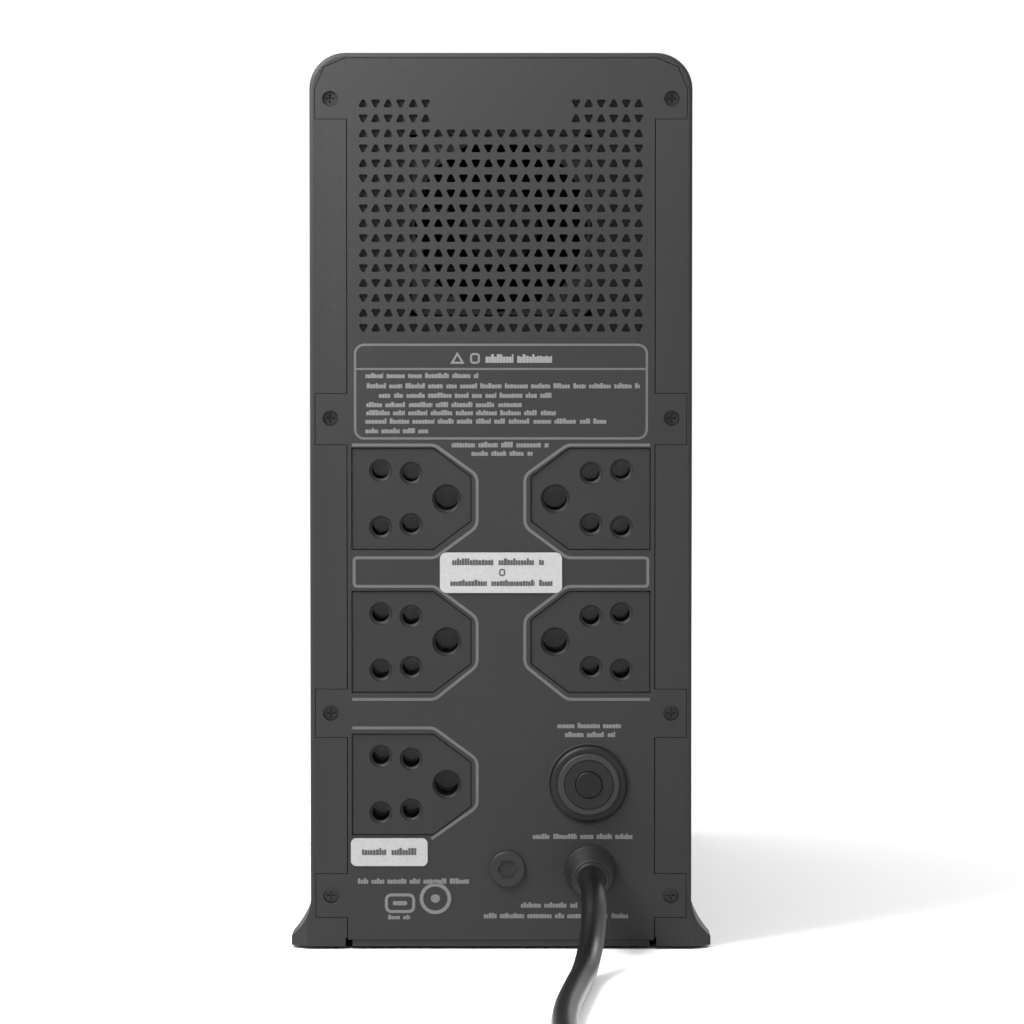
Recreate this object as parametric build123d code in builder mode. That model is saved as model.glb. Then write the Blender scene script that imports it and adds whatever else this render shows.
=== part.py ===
from build123d import *
import os
from math import tan, radians, cos, sin, sqrt

# Tower uninterruptible power supply, 1.5 kVA class.
# +Z up, rear panel faces +Y, front bezel faces -Y, origin on the floor under the middle of the cabinet.

# ---------------------------------------------------------------- driving dimensions (mm)
body_half = 64.1          # half width of the cabinet above the flared foot
foot_half = 70.7          # half width of the flared foot
height = 301.0            # floor to top
corner_r = 12.1           # top edge radius
wall = 2.5                # cover wall
rear_y = 187.0            # outer face of the rear panel
cover_front_y = -178.0    # front edge of the covers
bezel_y = -190.2          # front face of the bezel
rear_band = 4.0           # thickness of the covers' rear flange
panel_half = 51.5         # half width of the rear panel's middle
panel_t = 2.5
ear_z = ((279.0, 299.2), (170.0, 187.0), (71.5, 87.6), (10.7, 25.3))
screw_x = 57.2
screw_z = (285.7, 178.8, 79.6, 18.0)
foot_gap = 0.8            # cover flange above the floor

vent_cols, vent_rows = 23, 16
vent_dx, vent_dz = 4.19, 5.0
vent_top_z = 284.1
vent_half = 48.5
vent_z0, vent_z1 = 206.4, 286.6
fan_z = 243.4

outlet_pitch = 48.1
outlet_rows = (151.7, 103.6, 55.5)
outlet_face_y = 186.4
pin_line_x = 40.4         # live and neutral holes of the three-pin pattern
pin_line_dz = 9.525
earth_x = 18.2
two_pin_x, two_pin_dz = 30.2, 8.6
hole_r, earth_hole_r = 2.9, 3.95
outlet_back_y = 168.0

breaker_x, breaker_z = -29.5, 55.7
plug_hole_x, plug_hole_z = -2.2, 27.0
gland_x, gland_z = -30.2, 26.3
gland_end_y = 213.0
cord_d = 8.3

battery_l, battery_w, battery_h = 151.0, 94.0, 65.0
battery_front_y = -160.0
battery_z = 9.0
door_half, door_z0, door_z1 = 53.3, 8.2, 145.8

coil_x, coil_y = 29.0, 575.0
coil_in, coil_out, coil_h = 30.0, 55.2, 16.8

os.makedirs("parts", exist_ok=True)


def at_y(y):
    """Sketch plane facing the rear at a given Y: local x is X, local y is Z, extrude goes towards -Y."""
    return Plane.XZ.offset(-y)


def half_outline(d, bottom):
    """Outer outline of the +X half, moved in by d, down to the height bottom."""
    r = corner_r - d
    cx, cz = body_half - corner_r, height - corner_r
    top = Line((0, height - d), (cx, height - d))
    arc = ThreePointArc((cx, height - d), (cx + r * cos(radians(45)), cz + r * sin(radians(45))), (body_half - d, cz))
    side = Line((body_half - d, cz), (body_half - d, 19.0))
    flare = ThreePointArc((body_half - d, 19.0), (66.5 - d, 8.7 + 0.1 * d), (70.5 - d, 4.2 + 0.2 * d))
    edge = Polyline((70.5 - d, 4.2 + 0.2 * d), (foot_half - d, 3.6), (foot_half - d, bottom), (0, bottom), (0, height - d))


def full_outline(d, bottom):
    with BuildLine() as half:
        half_outline(d, bottom)
    make_face(half.edges())
    mirror(about=Plane.YZ)


# ---------------------------------------------------------------- covers
def side_cover(side):
    """One half of the cabinet: side wall, half of the top, flared foot and the rear flange that carries the screws."""
    with BuildPart() as cover:
        with BuildSketch(at_y(rear_y)):
            with BuildLine():
                half_outline(0.0, foot_gap)
            make_face()
            with Locations((0, 0)):
                with BuildLine(mode=Mode.PRIVATE) as inner:
                    cx, cz, r = body_half - corner_r, height - corner_r, corner_r - wall
                    Line((-1, height - wall), (cx, height - wall))
                    ThreePointArc((cx, height - wall), (cx + r * cos(radians(45)), cz + r * sin(radians(45))), (body_half - wall, cz))
                    Polyline((body_half - wall, cz), (body_half - wall, 3.8), (52.3, 3.8), (52.3, 0.0), (-1, 0.0), (-1, height - wall))
            make_face(inner.edges(), mode=Mode.SUBTRACT)
        extrude(amount=rear_y - cover_front_y)
        # rear flange with recesses for the panel's ears
        with BuildSketch(at_y(rear_y)):
            with BuildLine():
                half_outline(0.4, foot_gap)
            make_face()
            with Locations((0, height / 2)):
                Rectangle(2 * 51.8, 400, mode=Mode.SUBTRACT)
            with Locations((60, -10)):
                Rectangle(40, 2 * (10 + 3.8), mode=Mode.SUBTRACT)
        extrude(amount=rear_band)
        with BuildSketch(at_y(rear_y)):
            for z0, z1 in ear_z:
                with Locations((51.0 + 11.4 / 2, (z0 + z1) / 2)):
                    Rectangle(11.4, z1 - z0 + 0.4)
            with BuildLine(mode=Mode.PRIVATE) as keep:
                Polyline((40, -5), (62.4, -5), (62.4, height - corner_r), (62.4 - 3.02, 296.36), (52.1, 299.4), (40, 299.4), (40, -5))
            make_face(keep.edges(), mode=Mode.INTERSECT)
        extrude(amount=1.7, mode=Mode.SUBTRACT)
        # rebate under the top for the panel's upper edge
        with BuildSketch(at_y(rear_y)):
            with Locations((25.5, 296.4)):
                Rectangle(53.2, 6.0)
        extrude(amount=panel_t + 0.1, mode=Mode.SUBTRACT)
        # clearance for the ears' hubs, and the screw posts behind them
        with BuildSketch(at_y(rear_y)):
            with Locations(*[(screw_x, z) for z in screw_z]):
                Circle(3.8)
        extrude(amount=rear_band + 1, mode=Mode.SUBTRACT)
        with BuildSketch(at_y(180.9)):
            with Locations(*[(screw_x, z) for z in screw_z]):
                Circle(3.9)
            with Locations(*[(screw_x + 2.6, z) for z in screw_z]):
                Rectangle(4.4, 2.4)
        extrude(amount=22)
        with BuildSketch(at_y(180.9)):
            with Locations(*[(screw_x, z) for z in screw_z]):
                Circle(1.5)
        extrude(amount=16, mode=Mode.SUBTRACT)
        # pockets for the rubber feet
        with BuildSketch(Plane.XY.offset(foot_gap)):
            with Locations((58.7, 150), (58.7, -150)):
                RectangleRounded(9, 40, 3)
        extrude(amount=1.6, mode=Mode.SUBTRACT)
        # the flare's rear end slopes forward towards its outer edge
        with BuildSketch(Plane.XY.offset(-1)):
            with BuildLine():
                Polyline((64.1, 188), (72, 188), (72, 181.5), (64.1, 188))
            make_face()
        extrude(amount=18.5, mode=Mode.SUBTRACT)
        # the flare stands out as a foot at each end and runs back into the side between them
        with BuildSketch(Plane.XY.offset(-1)):
            with BuildLine():
                Line((73, 172), (73, -160))
                Line((73, -160), (71, -160))
                ThreePointArc((71, -160), (66.4, -142), (64.1, -120))
                Line((64.1, -120), (64.1, 120))
                ThreePointArc((64.1, 120), (66.0, 147), (71, 172))
                Line((71, 172), (73, 172))
            make_face()
        extrude(amount=21, mode=Mode.SUBTRACT)
        # softened outer edges at the rear
        rear_edges = cover.edges().filter_by_position(Axis.Y, rear_y - 0.01, rear_y + 0.01).filter_by(lambda e: e.center().X > 63.9 or (e.center().Z > 299.5 and e.length > 8) or (e.geom_type == GeomType.CIRCLE and e.radius > 11))
        try:
            fillet(rear_edges, 1.3)
        except Exception:
            print("rear edge fillet skipped")
        if side < 0:
            mirrored = mirror(about=Plane.YZ, mode=Mode.REPLACE)
    return cover


left_shell = side_cover(1)
left_shell.part.label = "left_shell"
export_step(left_shell.part, "parts/left_shell.step")
right_shell = side_cover(-1)
right_shell.part.label = "right_shell"
export_step(right_shell.part, "parts/right_shell.step")

with BuildPart() as base_plate:
    with BuildSketch(Plane.XY.offset(3.8)):
        with Locations((0, 2.5)):
            Rectangle(121, 361)
    extrude(amount=2.5)
    with BuildSketch(Plane.XY.offset(foot_gap)):
        with Locations((0, 4.5)):
            Rectangle(100, 364)
    extrude(amount=3.0)
    with BuildSketch(Plane.XY.offset(2.9)):
        with Locations((0, 186.0)):
            Rectangle(130, 6.0)
    extrude(amount=6, mode=Mode.SUBTRACT)
    # cooling slots under the transformer
    with BuildSketch(Plane.XY.offset(0)):
        with GridLocations(10, 40, 9, 2):
            SlotOverall(32, 4, rotation=90)
    extrude(amount=8, mode=Mode.SUBTRACT)
    with BuildSketch(Plane.XY.offset(3.9)):
        with Locations((54, 46), (-54, 46), (54, 64), (-54, 64)):
            Circle(2.0)
    extrude(amount=5, mode=Mode.SUBTRACT)
base_plate.part.label = "base_plate"
export_step(base_plate.part, "parts/base_plate.step")

with BuildPart() as rubber_feet:
    with BuildSketch(Plane.XY):
        with Locations((58.7, 150), (58.7, -150), (-58.7, 150), (-58.7, -150)):
            RectangleRounded(9, 40, 3)
    extrude(amount=foot_gap + 1.6)
rubber_feet.part.label = "rubber_feet"
export_step(rubber_feet.part, "parts/rubber_feet.step")


# ---------------------------------------------------------------- rear panel
def outlet_polygon(side, zc, grow):
    """Outline of an outlet's face: a rectangle with its two inner corners cut off."""
    g = grow
    pts = [(49.9 + g, 16.9 + g), (22.8 - 0.45 * g, 16.9 + g), (10.2 - g, 7.4 + 0.45 * g),
           (10.2 - g, -7.4 - 0.45 * g), (22.8 - 0.45 * g, -16.9 - g), (49.9 + g, -16.9 - g)]
    pts = [(side * x, zc + z) for x, z in pts]
    with BuildLine() as edge:
        Polyline(*pts, close=True)
    make_face(edge.edges())


outlet_places = [(1, outlet_rows[0]), (1, outlet_rows[1]), (1, outlet_rows[2]), (-1, outlet_rows[0]), (-1, outlet_rows[1])]

with BuildPart() as rear_panel:
    with BuildSketch(at_y(rear_y)):
        with Locations((0, (3.05 + 299.2) / 2)):
            Rectangle(2 * panel_half, 299.2 - 3.05)
    extrude(amount=panel_t)
    with BuildSketch(at_y(rear_y)):
        for z0, z1 in ear_z:
            with Locations((0, (z0 + z1) / 2)):
                Rectangle(2 * 62.2, z1 - z0)
        with BuildLine(mode=Mode.PRIVATE) as keep:
            Polyline((62.2, 0), (62.2, height - corner_r), (59.2, 296.16), (52.0, 299.2), (-52.0, 299.2), (-59.2, 296.16), (-62.2, height - corner_r), (-62.2, 0), (62.2, 0))
        make_face(keep.edges(), mode=Mode.INTERSECT)
    extrude(amount=1.6)
    # hubs round the recessed screws
    with BuildSketch(at_y(rear_y)):
        with Locations(*[(s * screw_x, z) for s in (1, -1) for z in screw_z]):
            Circle(3.6)
    extrude(amount=6.0)
    with BuildSketch(at_y(rear_y)):
        with Locations(*[(s * screw_x, z) for s in (1, -1) for z in screw_z]):
            Circle(2.6)
    extrude(amount=3.6, mode=Mode.SUBTRACT)
    with BuildSketch(at_y(rear_y)):
        with Locations(*[(s * screw_x, z) for s in (1, -1) for z in screw_z]):
            Circle(1.7)
    extrude(amount=7, mode=Mode.SUBTRACT)
    # windows and holes
    with BuildSketch(at_y(rear_y)):
        with Locations((0, (vent_z0 + vent_z1) / 2)):
            Rectangle(2 * vent_half, vent_z1 - vent_z0)
        for s, zc in outlet_places:
            outlet_polygon(s, zc, 0.3)
        with Locations((breaker_x, breaker_z)):
            Circle(8.5)
        with Locations((plug_hole_x, plug_hole_z)):
            Circle(4.9)
        with Locations((gland_x, gland_z)):
            Circle(6.8)
    extrude(amount=panel_t + 1, mode=Mode.SUBTRACT)
    # stiffening ribs on the inside
    with BuildSketch(at_y(rear_y - panel_t)):
        with Locations((0, 200)):
            Rectangle(96, 2)
        with Locations((0, 291)):
            Rectangle(96, 2)
    extrude(amount=4)
rear_panel.part.label = "rear_panel"
export_step(rear_panel.part, "parts/rear_panel.step")

tri = [(-1.15, -1.32), (1.15, -1.32), (1.5, -0.8), (0.45, 1.32), (-0.45, 1.32), (-1.5, -0.8)]
with BuildPart() as vent_grille:
    with BuildSketch(at_y(rear_y)):
        with Locations((0, (vent_z0 + vent_z1) / 2)):
            Rectangle(2 * vent_half, vent_z1 - vent_z0)
        up, down = [], []
        for row in range(vent_rows):
            for col in range(vent_cols):
                if row < 2 and 6 <= col <= 16:
                    continue
                place = ((col - (vent_cols - 1) / 2) * vent_dx, vent_top_z - row * vent_dz)
                (up if (row + col) % 2 == 0 else down).append(place)
        with Locations(*up):
            Polygon(*tri, mode=Mode.SUBTRACT)
        with Locations(*down):
            Polygon(*[(x, -z) for x, z in reversed(tri)], mode=Mode.SUBTRACT)
    extrude(amount=panel_t)
vent_grille.part.label = "vent_grille"
export_step(vent_grille.part, "parts/vent_grille.step")

with BuildPart() as rear_screws:
    for s in (1, -1):
        for z in screw_z:
            with BuildSketch(at_y(183.4)):
                with Locations((s * screw_x, z)):
                    Circle(2.5)
            extrude(amount=-1.9)
            with BuildSketch(at_y(183.4)):
                with Locations((s * screw_x, z)):
                    Circle(1.45)
            extrude(amount=16)
            with BuildSketch(at_y(185.3)):
                with Locations((s * screw_x, z)):
                    Rectangle(2.9, 0.7)
                    Rectangle(0.7, 2.9)
            extrude(amount=1.0, mode=Mode.SUBTRACT)
rear_screws.part.label = "rear_screws"
export_step(rear_screws.part, "parts/rear_screws.step")

with BuildPart() as label_plate_upper:
    with BuildSketch(at_y(rear_y + 0.4)):
        with Locations((0, 126.9)):
            RectangleRounded(41.0, 13.6, 2.2)
    extrude(amount=0.4)
label_plate_upper.part.label = "label_plate_upper"
export_step(label_plate_upper.part, "parts/label_plate_upper.step")

with BuildPart() as label_plate_lower:
    with BuildSketch(at_y(rear_y + 0.4)):
        with Locations((37.6, 32.7)):
            RectangleRounded(25.8, 9.4, 1.8)
    extrude(amount=0.4)
label_plate_lower.part.label = "label_plate_lower"
export_step(label_plate_lower.part, "parts/label_plate_lower.step")


# ---------------------------------------------------------------- outlets
def outlet(side, zc):
    """Universal three-pin and two-pin socket: a face in the panel's window and a block behind it."""
    with BuildPart() as body:
        with BuildSketch(at_y(outlet_face_y)):
            outlet_polygon(side, zc, 0.0)
        extrude(amount=outlet_face_y - 184.4)
        with BuildSketch(at_y(184.4)):
            with Locations((side * 30.0, zc)):
                RectangleRounded(41.6, 37.6, 1.5)
        extrude(amount=184.4 - outlet_back_y)
        live = [(side * pin_line_x, zc + pin_line_dz), (side * pin_line_x, zc - pin_line_dz),
                (side * two_pin_x, zc + two_pin_dz), (side * two_pin_x, zc - two_pin_dz)]
        with BuildSketch(at_y(outlet_face_y)):
            with Locations(*live):
                Circle(hole_r)
            with Locations((side * earth_x, zc)):
                Circle(earth_hole_r)
        extrude(amount=outlet_face_y - outlet_back_y, mode=Mode.SUBTRACT)
        mouths = body.edges().filter_by(GeomType.CIRCLE).filter_by_position(Axis.Y, outlet_face_y - 0.01, outlet_face_y + 0.01)
        chamfer(mouths, 0.9)
    return body


outlets = []
for n, (s, zc) in enumerate(outlet_places, 1):
    built = outlet(s, zc)
    built.part.label = f"outlet_{n}"
    export_step(built.part, f"parts/outlet_{n}.step")
    outlets.append(built)


def contact_pair(up):
    """Brass sockets behind the pin holes of one polarity, joined in pairs by a strip."""
    with BuildPart() as brass:
        for s, zc in outlet_places:
            holes = [(s * pin_line_x, zc + up * pin_line_dz), (s * two_pin_x, zc + up * two_pin_dz)]
            with BuildSketch(at_y(outlet_back_y)):
                with Locations(*holes):
                    Circle(3.9)
                with Locations(*holes):
                    Circle(3.25, mode=Mode.SUBTRACT)
            extrude(amount=14)
            with BuildSketch(at_y(outlet_back_y - 14)):
                with Locations((s * 35.3, zc + up * 9.0)):
                    Rectangle(19, 9)
            extrude(amount=1.2)
    return brass


live_contacts = contact_pair(1)
live_contacts.part.label = "live_contacts"
export_step(live_contacts.part, "parts/live_contacts.step")
neutral_contacts = contact_pair(-1)
neutral_contacts.part.label = "neutral_contacts"
export_step(neutral_contacts.part, "parts/neutral_contacts.step")

with BuildPart() as earth_contacts:
    for s, zc in outlet_places:
        with BuildSketch(at_y(outlet_back_y)):
            with Locations((s * earth_x, zc)):
                Circle(4.9)
                Circle(4.3, mode=Mode.SUBTRACT)
        extrude(amount=14)
        with BuildSketch(at_y(outlet_back_y - 14)):
            with Locations((s * earth_x, zc)):
                Rectangle(11, 11)
        extrude(amount=1.2)
earth_contacts.part.label = "earth_contacts"
export_step(earth_contacts.part, "parts/earth_contacts.step")

# ---------------------------------------------------------------- circuit breaker, blanking plug, gland
with BuildPart() as breaker_body:
    with BuildSketch(at_y(184.4)):
        with Locations((breaker_x, breaker_z)):
            RectangleRounded(26, 26, 2)
    extrude(amount=34)
    with BuildSketch(at_y(190.4)):
        with Locations((breaker_x, breaker_z)):
            Circle(8.1)
    extrude(amount=6.0)
    with BuildSketch(at_y(190.4)):
        with Locations((breaker_x, breaker_z)):
            Circle(4.6)
    extrude(amount=22, mode=Mode.SUBTRACT)
    with BuildSketch(at_y(150.4)):
        with Locations((breaker_x - 6, breaker_z), (breaker_x + 6, breaker_z)):
            Rectangle(0.8, 6.3)
    extrude(amount=9)
breaker_body.part.label = "breaker_body"
export_step(breaker_body.part, "parts/breaker_body.step")

with BuildPart() as breaker_collar:
    with BuildSketch(at_y(188.6)):
        with Locations((breaker_x, breaker_z)):
            Circle(12.65)
            Circle(8.3, mode=Mode.SUBTRACT)
    extrude(amount=1.6)
    chamfer(breaker_collar.edges().filter_by(GeomType.CIRCLE).filter_by_position(Axis.Y, 188.5, 188.7).sort_by(SortBy.RADIUS)[-1], 0.7)
breaker_collar.part.label = "breaker_collar"
export_step(breaker_collar.part, "parts/breaker_collar.step")

with BuildPart() as breaker_nut:
    with BuildSketch(at_y(190.0)):
        with Locations((breaker_x, breaker_z)):
            Circle(10.4)
            Circle(8.3, mode=Mode.SUBTRACT)
    extrude(amount=1.4)
    fillet(breaker_nut.edges().filter_by(GeomType.CIRCLE).filter_by_position(Axis.Y, 189.9, 190.1).sort_by(SortBy.RADIUS)[-1], 0.6)
breaker_nut.part.label = "breaker_nut"
export_step(breaker_nut.part, "parts/breaker_nut.step")

with BuildPart() as breaker_button:
    with BuildSketch(at_y(191.0)):
        with Locations((breaker_x, breaker_z)):
            Circle(4.4)
    extrude(amount=19)
    fillet(breaker_button.edges().filter_by_position(Axis.Y, 190.9, 191.1), 0.5)
breaker_button.part.label = "breaker_button"
export_step(breaker_button.part, "parts/breaker_button.step")

with BuildPart() as blanking_plug:
    with BuildSketch(at_y(188.3)):
        with Locations((plug_hole_x, plug_hole_z)):
            Circle(6.0)
    extrude(amount=1.3)
    with BuildSketch(at_y(187.0)):
        with Locations((plug_hole_x, plug_hole_z)):
            Circle(4.85)
            Circle(3.6, mode=Mode.SUBTRACT)
    extrude(amount=6.5)
    with BuildSketch(at_y(188.3)):
        with Locations((plug_hole_x, plug_hole_z)):
            RegularPolygon(3.4, 6)
    extrude(amount=0.6, mode=Mode.SUBTRACT)
    chamfer(blanking_plug.edges().filter_by(GeomType.CIRCLE).filter_by_position(Axis.Y, 188.2, 188.4), 0.35)
blanking_plug.part.label = "blanking_plug"
export_step(blanking_plug.part, "parts/blanking_plug.step")

# tapered strain relief: half profile turned about the cord's axis
with BuildPart() as strain_relief:
    with BuildSketch(Plane.XY.offset(gland_z)):
        with BuildLine():
            Polyline((gland_x, 181.0), (gland_x + 7.0, 181.0), (gland_x + 7.0, 184.4), (gland_x + 6.7, 184.4), (gland_x + 6.7, 187.0),
                     (gland_x + 8.8, 187.0), (gland_x + 8.8, 189.0), (gland_x + 8.2, 189.8), (gland_x + 7.3, 190.2), (gland_x + 5.5, gland_end_y - 0.6), (gland_x + 5.0, gland_end_y),
                     (gland_x, gland_end_y), (gland_x, 181.0))
        make_face()
    revolve(axis=Axis((gland_x, 0, gland_z), (0, 1, 0)))
strain_relief.part.label = "strain_relief"
export_step(strain_relief.part, "parts/strain_relief.step")

# ---------------------------------------------------------------- mains cord, 1.8 m: bends down from the gland, lies on the floor, then coiled
cord_route = [
    (-30.2, 213.0, 26.3), (-30.2, 225.0, 26.3), (-30.7, 237.0, 22.1), (-30.3, 249.0, 14.0), (-28.7, 262.5, 7.2),
    (-25.6, 281.0, 4.2), (-22.2, 304.0, 4.2), (-19.6, 331.0, 4.2), (-18.2, 359.0, 4.2), (-17.9, 389.0, 4.2), (-18.6, 421.0, 4.2),
    (-20.0, 455.0, 4.2), (-21.3, 490.0, 4.2), (-22.0, 522.0, 4.2), (-22.2, 549.0, 4.2),
]


def corner_radii(points):
    out = []
    for a, b, c in zip(points, points[1:], points[2:]):
        u, v = Vector(*b) - Vector(*a), Vector(*c) - Vector(*b)
        turn = u.get_angle(v)
        out.append(0.45 * min(u.length, v.length) / tan(radians(turn) / 2))
        print(f"cord corner {b}: turn {turn:.1f} deg, radius {out[-1]:.1f} mm, {out[-1] / cord_d:.1f} diameters, runs {u.length:.1f} {v.length:.1f}")
    return out


with BuildPart() as mains_cord:
    with BuildLine() as cord_path:
        FilletPolyline(*cord_route, radius=corner_radii(cord_route))
    with BuildSketch(Plane(origin=cord_route[0], z_dir=Vector(*cord_route[1]) - Vector(*cord_route[0]))):
        Circle(cord_d / 2)
    sweep(path=cord_path.line)
cord_length = sum(e.length for e in cord_path.edges())
print("cord tube length", round(cord_length, 1), "volume ratio", round(mains_cord.part.volume / (3.14159265 * (cord_d / 2) ** 2 * cord_length), 4))
mains_cord.part.label = "mains_cord"
export_step(mains_cord.part, "parts/mains_cord.step")

# tail from the coil to the plug
away = (-cos(radians(50)), sin(radians(50)))       # direction in which the plug points
leave = (coil_x - 51 * cos(radians(40)), coil_y - 51 * sin(radians(40)))
tail_a = (leave[0] + away[0] * 20, leave[1] + away[1] * 20, 14.2)
tail_b = (leave[0] + away[0] * 42, leave[1] + away[1] * 42, 15.5)
with BuildPart() as cord_tail:
    with BuildLine() as tail_path:
        Line(tail_a, tail_b)
    with BuildSketch(Plane(origin=tail_a, z_dir=Vector(*tail_b) - Vector(*tail_a))):
        Circle(cord_d / 2)
    sweep(path=tail_path.line)
cord_tail.part.label = "cord_tail"
export_step(cord_tail.part, "parts/cord_tail.step")

with BuildPart() as coil_tie:
    with BuildSketch(Plane(origin=(coil_x + (coil_in + coil_out) / 2, coil_y - 5, 0), x_dir=(1, 0, 0), z_dir=(0, 1, 0))):
        with Locations((0, -(coil_h + 1.2) / 2)):
            RectangleRounded(coil_out - coil_in + 3.0, coil_h + 1.2, 2.2)
        with Locations((0, -(coil_h + 1.2) / 2)):
            RectangleRounded(coil_out - coil_in + 0.6, coil_h - 1.2, 1.0, mode=Mode.SUBTRACT)
    extrude(amount=10)
coil_tie.part.label = "coil_tie"
export_step(coil_tie.part, "parts/coil_tie.step")

with BuildPart() as cord_coil:
    with BuildSketch(Plane.XY.offset(0)):
        with Locations((coil_x, coil_y)):
            Circle(coil_out)
            Circle(coil_in, mode=Mode.SUBTRACT)
    extrude(amount=coil_h)
    fillet(cord_coil.edges().filter_by(GeomType.CIRCLE), 3.0)
    add(coil_tie.part, mode=Mode.SUBTRACT)
cord_coil.part.label = "cord_coil"
export_step(cord_coil.part, "parts/cord_coil.step")

# plug: lies on its side, pins pointing away from the coil
plug_plane = Plane(origin=tail_b, x_dir=(away[1], -away[0], 0), z_dir=(away[0], away[1], 0))
with BuildPart() as plug_body:
    with BuildSketch(plug_plane):
        Circle(5.2)
    with BuildSketch(plug_plane.offset(22)):
        Circle(7.5)
    loft()
    with BuildSketch(plug_plane.offset(20)):
        RectangleRounded(22, 20, 7)
    with BuildSketch(plug_plane.offset(44)):
        RectangleRounded(38, 31, 8)
    loft()
    with BuildSketch(plug_plane.offset(44)):
        RectangleRounded(38, 31, 8)
    extrude(amount=16)
plug_body.part.label = "plug_body"
export_step(plug_body.part, "parts/plug_body.step")

with BuildPart() as plug_pins:
    for px, py, pr, length in ((-9.0, 9.525, 2.54, 15.0), (-9.0, -9.525, 2.54, 15.0), (13.2, 0.0, 3.53, 20.6)):
        if pr > 3:
            px = 12.9
        with BuildSketch(plug_plane.offset(60)):
            with Locations((px, py)):
                Circle(pr)
        extrude(amount=length)
    chamfer(plug_pins.edges().filter_by(GeomType.CIRCLE).filter_by(lambda e: abs((e.center() - Vector(*tail_b)).dot(Vector(away[0], away[1], 0)) - 60) > 5), 0.6)
plug_pins.part.label = "plug_pins"
export_step(plug_pins.part, "parts/plug_pins.step")

# ---------------------------------------------------------------- fan
with BuildPart() as fan_frame:
    with BuildSketch(at_y(184.4)):
        with Locations((0, fan_z)):
            RectangleRounded(60, 60, 3)
            Circle(28.9, mode=Mode.SUBTRACT)
            with GridLocations(50, 50, 2, 2):
                Circle(2.2, mode=Mode.SUBTRACT)
    extrude(amount=25)
    with BuildSketch(at_y(162.0)):
        with Locations((0, fan_z)):
            Circle(13.0)
        for a in (90, 210, 330):
            with Locations(Location((cos(radians(a)) * 20.5, fan_z + sin(radians(a)) * 20.5, 0), (0, 0, a))):
                Rectangle(18, 3.2)
    extrude(amount=2.6)
    with BuildSketch(at_y(176.0)):
        with Locations((0, fan_z)):
            Circle(1.5)
    extrude(amount=14.5)
fan_frame.part.label = "fan_frame"
export_step(fan_frame.part, "parts/fan_frame.step")

with BuildPart() as fan_rotor:
    with BuildSketch(at_y(180.5)):
        with Locations((0, fan_z)):
            Circle(13.3)
    extrude(amount=17.7)
    fillet(fan_rotor.edges().filter_by_position(Axis.Y, 180.4, 180.6), 1.0)
    for i in range(7):
        a = radians(90 + i * 360 / 7)
        radial = Vector(cos(a), 0, sin(a))
        around = Vector(-sin(a), 0, cos(a))
        chord = (around * cos(radians(38)) + Vector(0, 1, 0) * sin(radians(38))).normalized()
        blade_plane = Plane(origin=Vector(0, 171.5, fan_z) + radial * 11.5, x_dir=chord, z_dir=radial)
        with BuildSketch(blade_plane):
            with BuildLine():
                ThreePointArc((-9, 0), (0, 1.6), (9, 0))
                ThreePointArc((9, 0), (0, 3.0), (-9, 0))
            make_face()
        extrude(amount=16.0)
    with BuildSketch(at_y(162.8)):
        with Locations((0, fan_z)):
            Circle(1.57)
    extrude(amount=-14.0, mode=Mode.SUBTRACT)
fan_rotor.part.label = "fan_rotor"
export_step(fan_rotor.part, "parts/fan_rotor.step")

with BuildPart() as fan_pegs:
    with BuildSketch(at_y(184.5)):
        with Locations((0, fan_z)):
            with GridLocations(50, 50, 2, 2):
                Circle(2.1)
    extrude(amount=25.1)
    with BuildSketch(at_y(159.4)):
        with Locations((0, fan_z)):
            with GridLocations(50, 50, 2, 2):
                Circle(3.0)
    extrude(amount=2.5)
fan_pegs.part.label = "fan_pegs"
export_step(fan_pegs.part, "parts/fan_pegs.step")

# baffle that closes the grille round the fan, so that all the air goes through it
with BuildPart() as fan_shroud:
    with BuildSketch(at_y(184.4)):
        with Locations((0, (202.2 + 288.8) / 2)):
            Rectangle(98, 288.8 - 202.2)
        with Locations((0, fan_z)):
            Rectangle(60.6, 60.6, mode=Mode.SUBTRACT)
    extrude(amount=1.5)
    with BuildSketch(at_y(182.9)):
        with Locations((0, fan_z)):
            Rectangle(63.6, 63.6)
            Rectangle(60.6, 60.6, mode=Mode.SUBTRACT)
    extrude(amount=5.0)
    with BuildSketch(at_y(182.9)):
        with Locations((-40.5, 245), (40.5, 245)):
            Rectangle(1.5, 70)
    extrude(amount=4.0)
fan_shroud.part.label = "fan_shroud"
export_step(fan_shroud.part, "parts/fan_shroud.step")

# ---------------------------------------------------------------- battery pack
with BuildPart() as battery_tray:
    with BuildSketch(Plane.XY.offset(6.3)):
        with Locations((0, -84)):
            Rectangle(108, 160)
    extrude(amount=2.2)
    with BuildSketch(Plane.XY.offset(8.5)):
        with Locations((-53, -84), (53, -84)):
            Rectangle(2, 160)
        with Locations((0, -5)):
            Rectangle(108, 2)
    extrude(amount=14)
battery_tray.part.label = "battery_tray"
export_step(battery_tray.part, "parts/battery_tray.step")

for n, z in (("lower", battery_z), ("upper", battery_z + battery_h + 0.5)):
    with BuildPart() as battery_block:
        with BuildSketch(Plane.XY.offset(z)):
            with Locations((0, battery_front_y + battery_l / 2)):
                RectangleRounded(battery_w, battery_l, 2)
        extrude(amount=battery_h)
        with BuildSketch(Plane.YZ.offset(battery_w / 2)):
            with Locations((battery_front_y + battery_l / 2, z + battery_h / 2)):
                Rectangle(battery_l - 12, battery_h - 14)
        extrude(amount=-1.2, mode=Mode.SUBTRACT)
    battery_block.part.label = f"battery_block_{n}"
    export_step(battery_block.part, f"parts/battery_block_{n}.step")

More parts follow.
